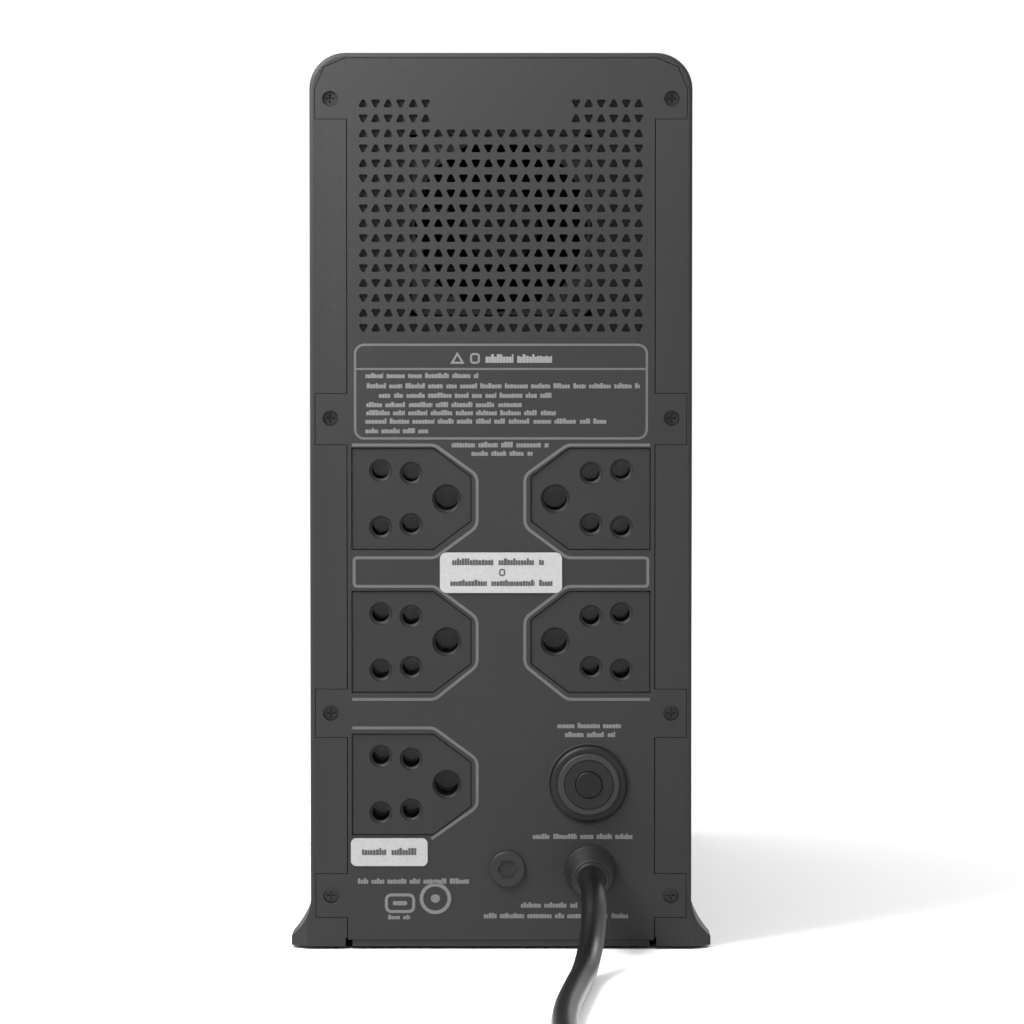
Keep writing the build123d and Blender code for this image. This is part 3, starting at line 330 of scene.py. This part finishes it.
def ribbon(path, width, y0, y1, verts, faces, closed=False):
    """A flat band of a given width along a path in X, Z (mm)."""
    m = len(path)
    left, right = [], []
    for i in range(m):
        p = Vector(path[i])
        a = Vector(path[i - 1]) if (i > 0 or closed) else None
        c = Vector(path[(i + 1) % m]) if (i < m - 1 or closed) else None
        d0 = (p - a).normalized() if a is not None else None
        d1 = (c - p).normalized() if c is not None else None
        d0 = d0 or d1; d1 = d1 or d0
        t = (d0 + d1).normalized()
        nrm = Vector((-t.y, t.x))
        k = width / 2 / max(0.5, nrm.dot(Vector((-d0.y, d0.x))))
        left.append(p + nrm * k); right.append(p - nrm * k)
    if closed:
        k, n = len(verts), m
        for ring in (left, right):
            for y in (y0, y1):
                verts += [mm(q.x, y, q.y) for q in ring]
        for i in range(n):
            j = (i + 1) % n
            l0, l1, r0, r1 = k, k + n, k + 2 * n, k + 3 * n
            faces += [[l0 + i, l0 + j, r0 + j, r0 + i], [l1 + i, l1 + j, r1 + j, r1 + i], [l0 + i, l0 + j, l1 + j, l1 + i], [r0 + i, r0 + j, r1 + j, r1 + i]]
    else:
        k, n = len(verts), m
        for ring in (left, right):
            for y in (y0, y1):
                verts += [mm(q.x, y, q.y) for q in ring]
        l0, l1, r0, r1 = k, k + n, k + 2 * n, k + 3 * n
        for i in range(n - 1):
            j = i + 1
            faces += [[l0 + i, l0 + j, r0 + j, r0 + i], [l1 + i, l1 + j, r1 + j, r1 + i], [l0 + i, l0 + j, l1 + j, l1 + i], [r0 + i, r0 + j, r1 + j, r1 + i]]
        faces += [[l0, r0, r1, l1], [l0 + n - 1, l1 + n - 1, r1 + n - 1, r0 + n - 1]]


def lathe(profile, origin, axis, mat, name, body="cabinet", steps=64):
    """Turns a closed (distance along axis, radius) profile in mm about an axis through origin (mm)."""
    ax = Vector(axis).normalized()
    u = ax.orthogonal().normalized(); w = ax.cross(u)
    verts, faces, n = [], [], len(profile)
    o = Vector(origin)
    for s in range(steps):
        t = 2 * math.pi * s / steps
        d = u * math.cos(t) + w * math.sin(t)
        verts += [tuple((o + ax * a + d * r) * MM) for a, r in profile]
    for s in range(steps):
        q = (s + 1) % steps
        for i in range(n):
            j = (i + 1) % n
            faces.append([s * n + i, s * n + j, q * n + j, q * n + i])
    return mesh_obj(name, verts, faces, mat, body, smooth=False)


# ------------------------------------------------------------------ mains cord: same route as the CAD tube, then the coil's turns
route = [
    (-30.2, 213.0, 26.3), (-30.2, 225.0, 26.3), (-30.7, 237.0, 22.1), (-30.3, 249.0, 14.0), (-28.7, 262.5, 7.2),
    (-26.9, 281.0, 4.2), (-25.0, 304.0, 4.2), (-22.9, 331.0, 4.2), (-20.9, 359.0, 4.2), (-19.6, 389.0, 4.2), (-19.3, 421.0, 4.2),
    (-20.1, 455.0, 4.2), (-21.3, 490.0, 4.2), (-22.0, 522.0, 4.2), (-22.2, 549.0, 4.2),
]
coil_c = (29.0, 575.0)
away = (-math.cos(math.radians(50)), math.sin(math.radians(50)))


def smoothstep(t):
    t = min(1.0, max(0.0, t))
    return t * t * (3 - 2 * t)


turn_r = [51.4, 43.0, 34.6, 43.0, 51.4]
points = list(route)
per_turn = 14
end_angle = 4 * 360 + 312
step = 360 / per_turn
a = step * 0.5
while a < end_angle:
    k = int(a // 360)
    inside = a - 360 * k
    r = turn_r[k]
    if k < 4:
        r += (turn_r[k + 1] - r) * smoothstep((inside - 300) / 60)
    z = 4.2 if k < 2 else (4.2 + 8.6 * smoothstep((inside - 205) / 90) if k == 2 else 12.8)
    t = math.radians(a)
    points.append((coil_c[0] - r * math.cos(t), coil_c[1] + r * math.sin(t), z))
    a += step
leave = (coil_c[0] - 51 * math.cos(math.radians(40)), coil_c[1] - 51 * math.sin(math.radians(40)))
for s, z in ((4, 12.9), (20, 14.2), (33, 15.2), (42, 15.5)):
    points.append((leave[0] + away[0] * s, leave[1] + away[1] * s, z))

curve = bpy.data.curves.new("mains_lead", 'CURVE')
curve.dimensions = '3D'
sp = curve.splines.new('NURBS')
sp.points.add(len(points) - 1)
for p, q in zip(sp.points, points):
    p.co = (*mm(*q), 1.0)
sp.order_u = 3
sp.use_endpoint_u = True
curve.resolution_u = 10
curve.bevel_depth = 0.00415
curve.bevel_resolution = 8
curve.use_fill_caps = True
curve.materials.append(M["cord"])
lead = bpy.data.objects.new("mains_lead", curve)
bpy.context.scene.collection.objects.link(lead)
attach(lead, "cabinet")
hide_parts("mains_cord", "cord_coil", "cord_tail")

# ------------------------------------------------------------------ printed marks on the rear panel (no lettering: plain bars stand for lines of small print)
R = 187.0


def words(z, xa, xb, h, verts, faces, y0=R, y1=R + 0.06, lo=3.2, hi=8.5, gap=1.0, seed=0, thin=0.10):
    rnd = random.Random(seed * 977 + int(z * 10))
    x = max(xa, xb); end = min(xa, xb)
    while x - end > 1.2:
        w = min(rnd.uniform(lo, hi), x - end)
        if x - end - w < 1.6:
            w = x - end
        # a word is a row of short strokes of slightly different height
        s = x
        while s - (x - w) > 0.35:
            sw = min(rnd.uniform(0.75, 1.15), s - (x - w))
            hh = h * rnd.choice((0.72, 0.72, 0.80, 1.0))
            base = z - h / 2
            prism(rounded(s - sw + thin, base, s, base + hh, 0.12, 2), y0, y1, verts, faces)
            s -= sw
        x -= w + gap


def printed(name, build, mat="print", body="cabinet"):
    v, f = [], []
    build(v, f)
    return mesh_obj(name, v, f, M[mat], body)


def outlines(v, f):
    w, y0, y1 = 1.0, R, R + 0.06
    for s in (1, -1):
        pts = [(50.0, 169.8), (22.2, 169.8), (8.0, 159.6), (8.0, 142.4), (22.2, 131.9), (49.3, 131.9), (49.3, 122.3), (22.2, 122.3),
               (8.0, 111.6), (8.0, 95.6), (22.2, 84.25), (50.0, 84.25)]
        rad = [0, 4.5, 4.5, 4.5, 4.5, 1.1, 1.1, 4.5, 4.5, 4.5, 4.5, 0]
        out = []
        for i, p in enumerate(pts):
            if i in (0, len(pts) - 1):
                out.append(p)
            else:
                out += round_path([pts[i - 1], p, pts[i + 1]], rad[i])[1:-1]
        ribbon([(s * x, z) for x, z in out], w, y0, y1, v, f)
    ribbon(round_path([(50.0, 74.6), (22.6, 74.6), (8.0, 63.9), (8.0, 48.0), (23.4, 37.2)], 4.5), w, y0, y1, v, f)


printed("outlet_outlines", outlines)


def panel_frame(v, f):
    ribbon(rounded(-48.9, 172.0, 48.9, 203.4, 3.0, 6), 0.8, R, R + 0.06, v, f, closed=True)
    ribbon([(48.6, 195.3), (-48.6, 195.3)], 0.7, R, R + 0.05, v, f)


printed("notice_frame", panel_frame)


def U(u):
    return (501.0 - u) / 2.98


def Z(vv):
    return (951.0 - vv) / 2.98


def notice_rows(v, f):
    for i, (vv, a, b) in enumerate(((375.6, 365.6, 478.7), (385.8, 367.0, 640.0), (395.3, 379.0, 551.8), (404.6, 366.5, 522.8), (412.7, 366.5, 556.2), (421.1, 365.6, 606.9), (430.7, 365.6, 434.4))):
        words(Z(vv), U(a), U(b), 1.75, v, f, seed=i + 1)


printed("notice_rows", notice_rows, "print_light")


def small_rows(v, f):
    words(Z(444.6), U(451.8), U(549), 1.9, v, f, seed=30)
    words(Z(453.3), U(471.5), U(533), 1.7, v, f, seed=31)
    words(75.4, -19.0, -40.4, 1.8, v, f, seed=32)
    words(72.4, -21.5, -38.5, 1.8, v, f, seed=33)
    words(38.0, -10.7, -44.3, 1.8, v, f, seed=34)
    words(14.8, -6.7, -25.8, 1.8, v, f, seed=35)
    words(11.2, 5.8, -42.9, 1.8, v, f, seed=36)
    words(22.9, 48.2, 10.7, 1.8, v, f, seed=37)
    words(10.7, 38.0, 30.5, 1.5, v, f, seed=38)


printed("small_print_rows", small_rows, "print_light")


def title_marks(v, f):
    # two plain marks before the heading bar
    ribbon([(16.4, 197.4), (14.6, 200.4), (12.8, 197.4)], 0.7, R, R + 0.06, v, f, closed=True)
    ribbon(rounded(7.4, 197.4, 10.0, 200.3, 0.7, 3), 0.7, R, R + 0.06, v, f, closed=True)


printed("heading_marks", title_marks, "print_light")


def heading_bar(v, f):
    words(198.8, 5.2, -17.2, 2.9, v, f, lo=9, hi=14, gap=1.2, seed=20, thin=0.08)


printed("heading_bar", heading_bar, "print_bright")


def generic_marks(v, f):
    ring = [(22.1 + 4.7 * math.cos(math.radians(t)), 17.0 + 4.7 * math.sin(math.radians(t))) for t in range(0, 360, 12)]
    ribbon(ring, 1.2, R, R + 0.06, v, f, closed=True)
    prism(rounded(20.6, 15.6, 23.6, 18.4, 1.3, 4), R, R + 0.06, v, f)
    ribbon(rounded(29.4, 12.6, 38.6, 18.2, 1.6, 4), 1.0, R, R + 0.06, v, f, closed=True)
    prism(rounded(31.6, 14.7, 36.4, 16.1, 0.5, 3), R, R + 0.06, v, f)


printed("approval_marks", generic_marks, "print_light")


def plate_ink(v, f):
    words(130.6, 16.4, -14.8, 2.3, v, f, y0=187.4, y1=187.44, lo=10, hi=16, gap=1.6, seed=40)
    ribbon(rounded(-1.2, 126.0, 0.4, 128.0, 0.6, 3), 0.5, 187.4, 187.44, v, f, closed=True)
    words(123.5, 17.0, -17.6, 2.1, v, f, y0=187.4, y1=187.44, lo=10, hi=15, gap=1.4, seed=41)
    words(32.9, 46.8, 28.4, 2.4, v, f, y0=187.4, y1=187.44, lo=8, hi=10, gap=1.5, seed=42)


printed("plate_ink", plate_ink, "label_ink")

# ------------------------------------------------------------------ near-black rims in the socket mouths: painted shade in the holes
v, f = [], []
for s, zc in ((1, 151.7), (1, 103.6), (1, 55.5), (-1, 151.7), (-1, 103.6)):
    for x, dz, r in ((40.4, 9.525, 2.9), (40.4, -9.525, 2.9), (30.2, 8.6, 2.9), (30.2, -8.6, 2.9), (18.2, 0.0, 3.95)):
        profile = [(185.2, r + 0.01), (185.5, r + 0.01), (186.43, r + 0.93), (186.30, r + 1.0), (185.2, r + 0.12)]
        k, steps, n = len(v), 36, len(profile)
        for i in range(steps):
            t = 2 * math.pi * i / steps
            v += [mm(s * x + q * math.cos(t), y, zc + dz + q * math.sin(t)) for y, q in profile]
        for i in range(steps):
            j = (i + 1) % steps
            for a0 in range(n):
                b0 = (a0 + 1) % n
                f.append([k + i * n + a0, k + i * n + b0, k + j * n + b0, k + j * n + a0])
mesh_obj("socket_mouths_painted_shade", v, f, M["mouth"], "cabinet")

# ------------------------------------------------------------------ dished lip round the breaker's collar
lathe([(0.0, 13.8), (0.3, 13.65), (0.4, 13.45), (0.1, 12.85), (0.0, 12.7)], (-29.5, 187.0, 55.7), (0, 1, 0), M["panel"], "breaker_lip", steps=72)

# ------------------------------------------------------------------ ribs on the strain relief
prof_v, prof_f = [], []
for k in range(7):
    y = 192.0 + 2.9 * k
    t = (y - 190.2) / 22.2
    r0 = 7.3 + (5.5 - 7.3) * t
    lathe([(-0.9, r0 - 0.6), (-0.9, r0 + 0.1), (-0.55, r0 + 0.75), (0.0, r0 + 0.95), (0.55, r0 + 0.72), (0.9, r0 + 0.05), (0.9, r0 - 0.6)],
          (-30.2, y, 26.3), (0, 1, 0), M["relief"], f"strain_relief_rib_{k + 1}", steps=48)

# ------------------------------------------------------------------ plug: grip ribs and tapered ribs along its neck
ax = Vector((away[0], away[1], 0))
tail_end = Vector((leave[0] + away[0] * 42, leave[1] + away[1] * 42, 15.5))
for k in range(5):
    s = 3.0 + 3.1 * k
    r0 = 5.2 + 2.3 * s / 22
    lathe([(-0.8, r0 - 0.5), (-0.8, r0 + 0.1), (0.0, r0 + 0.8), (0.8, r0 + 0.1), (0.8, r0 - 0.5)], tuple(tail_end + ax * s), tuple(ax), M["plug"], f"plug_neck_rib_{k + 1}", steps=40)
side = Vector((away[1], -away[0], 0))
for sgn in (1, -1):
    v, f = [], []
    for k in range(5):
        c = tail_end + ax * (46.2 + 2.6 * k) + side * (19.0 * sgn)
        n = len(v)
        for dz in (-8.5, 8.5):
            for da, do in ((-0.65, -0.3), (-0.4, 0.55), (0.4, 0.55), (0.65, -0.3)):
                v.append(tuple((c + ax * da + side * (do * sgn) + Vector((0, 0, dz))) * MM))
        f += [[n, n + 1, n + 2, n + 3], [n + 7, n + 6, n + 5, n + 4]]
        for i in range(4):
            j = (i + 1) % 4
            f.append([n + i, n + j, n + 4 + j, n + 4 + i])
    mesh_obj(f"plug_grip_{'right' if sgn > 0 else 'left'}", v, f, M["plug"])

# ------------------------------------------------------------------ front: button marks, indicator and the door's finger ribs
def front_prism(poly, y0, y1, v, f):
    prism(poly, y0, y1, v, f)


v, f = [], []
arc = [(3.0 * math.sin(math.radians(t)), 195.7 + 3.0 * math.cos(math.radians(t))) for t in range(40, 321, 14)]
ribbon(arc, 0.7, -191.03, -190.98, v, f)
ribbon([(0, 199.6), (0, 196.4)], 0.7, -191.03, -190.98, v, f)
mesh_obj("power_mark", v, f, M["icon"], "power_button")
v, f = [], []
ribbon([(22.2, 194.6), (23.4, 194.6), (24.9, 193.2), (24.9, 198.8), (23.4, 197.4), (22.2, 197.4)], 0.45, -191.03, -190.98, v, f, closed=True)
mesh_obj("mute_mark", v, f, M["icon"], "mute_button")
v, f = [], []
ribbon(rounded(-26.2, 194.3, -21.8, 197.7, 0.6, 3), 0.45, -191.03, -190.98, v, f, closed=True)
mesh_obj("display_mark", v, f, M["icon"], "display_button")
v, f = [], []
for k in range(6):
    x = -12.5 + 5 * k
    prism(rounded(x - 0.7, 134.0, x + 0.7, 139.6, 0.65, 4), -188.7, -189.35, v, f)
mesh_obj("door_grip_ribs", v, f, M["bezel"], "battery_door")
v, f = [], []
prism(rounded(-1.5, 207.4, 1.5, 208.4, 0.45, 4), -190.26, -190.1, v, f)
mesh_obj("indicator_lens", v, f, M["green"], "cabinet")

# dark segments of the display, behind the window
v, f = [], []
for cx in (-17, -9, -1):
    for (x0, z0, x1, z1) in ((-2.4, 6.2, 2.4, 7.0), (-2.4, -0.4, 2.4, 0.4), (-2.4, -7.0, 2.4, -6.2), (-3.2, 0.7, -2.4, 6.0), (2.4, 0.7, 3.2, 6.0), (-3.2, -6.0, -2.4, -0.7), (2.4, -6.0, 3.2, -0.7)):
        prism(rounded(cx + x0, 241 + z0, cx + x1, 241 + z1, 0.3, 2), -188.46, -188.42, v, f)
for k in range(5):
    prism(rounded(12, 231 + 4.2 * k, 12 + 5 + 1.6 * k, 231 + 4.2 * k + 2.6, 0.4, 2), -188.46, -188.42, v, f)
mesh_obj("display_segments", v, f, M["icon"], "cabinet")

# ------------------------------------------------------------------ battery pack: plain wrap labels
for n, name in ((1, "battery_block_lower"), (2, "battery_block_upper")):
    lo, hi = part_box(name)
    v, f = [], []
    x0, x1 = lo.x / MM + 14, hi.x / MM - 14
    z0, z1 = lo.z / MM + 12, hi.z / MM - 12
    prism(rounded(12, z0, x1, z1, 2, 4), lo.y / MM - 0.15, lo.y / MM, v, f)
    prism(rounded(x0, z0, -12, z1, 2, 4), lo.y / MM - 0.15, lo.y / MM, v, f)
    mesh_obj(f"battery_wrap_{n}", v, f, M["label"], "battery_pack")

# ------------------------------------------------------------------ stage
def plane(name, size, loc, rot, mat):
    me = bpy.data.meshes.new(name)
    s = size / 2
    me.from_pydata([(-s, -s, 0), (s, -s, 0), (s, s, 0), (-s, s, 0)], [], [(0, 1, 2, 3)])
    o = bpy.data.objects.new(name, me)
    o.location, o.rotation_euler = loc, rot
    bpy.context.scene.collection.objects.link(o)
    me.materials.append(mat)
    return o


floor_mat, fnt, fb = new_mat("pale floor")
fn = noise(fnt, 1.5, 3, 0.5, coords(fnt))
fr = ramp(fnt, fn.outputs["Fac"], [(0.3, (0.955, 0.955, 0.957)), (0.7, (0.97, 0.97, 0.97))])
fnt.links.new(fr.outputs["Color"], fb.inputs["Base Color"])
fb.inputs["Roughness"].default_value = 0.7
plane("floor", 12, (0, 0, -0.0002), (0, 0, 0), floor_mat)

world = bpy.data.worlds.new("studio")
bpy.context.scene.world = world
world.use_nodes = True
world.node_tree.nodes["Background"].inputs["Color"].default_value = (1, 1, 1, 1)
world.node_tree.nodes["Background"].inputs["Strength"].default_value = 1.04


def area(name, loc, aim, size, power, color=(1, 1, 1)):
    l = bpy.data.lights.new(name, 'AREA')
    l.shape, l.size, l.energy, l.color = 'SQUARE', size, power, color
    o = bpy.data.objects.new(name, l)
    o.location = loc
    o.rotation_euler = (Vector(aim) - Vector(loc)).to_track_quat('-Z', 'Y').to_euler()
    bpy.context.scene.collection.objects.link(o)
    return o


area("key", (0.23, 0.37, 0.46), (0.02, 0.187, 0.24), 0.28, 6.2)
area("fill", (-1.4, 1.2, 0.7), (0, 0.18, 0.15), 0.9, 1.5)
area("front", (-0.8, -1.6, 1.2), (0, -0.19, 0.15), 0.9, 12)

try:
    bpy.context.scene.view_settings.view_transform = 'Standard'
except Exception:
    pass
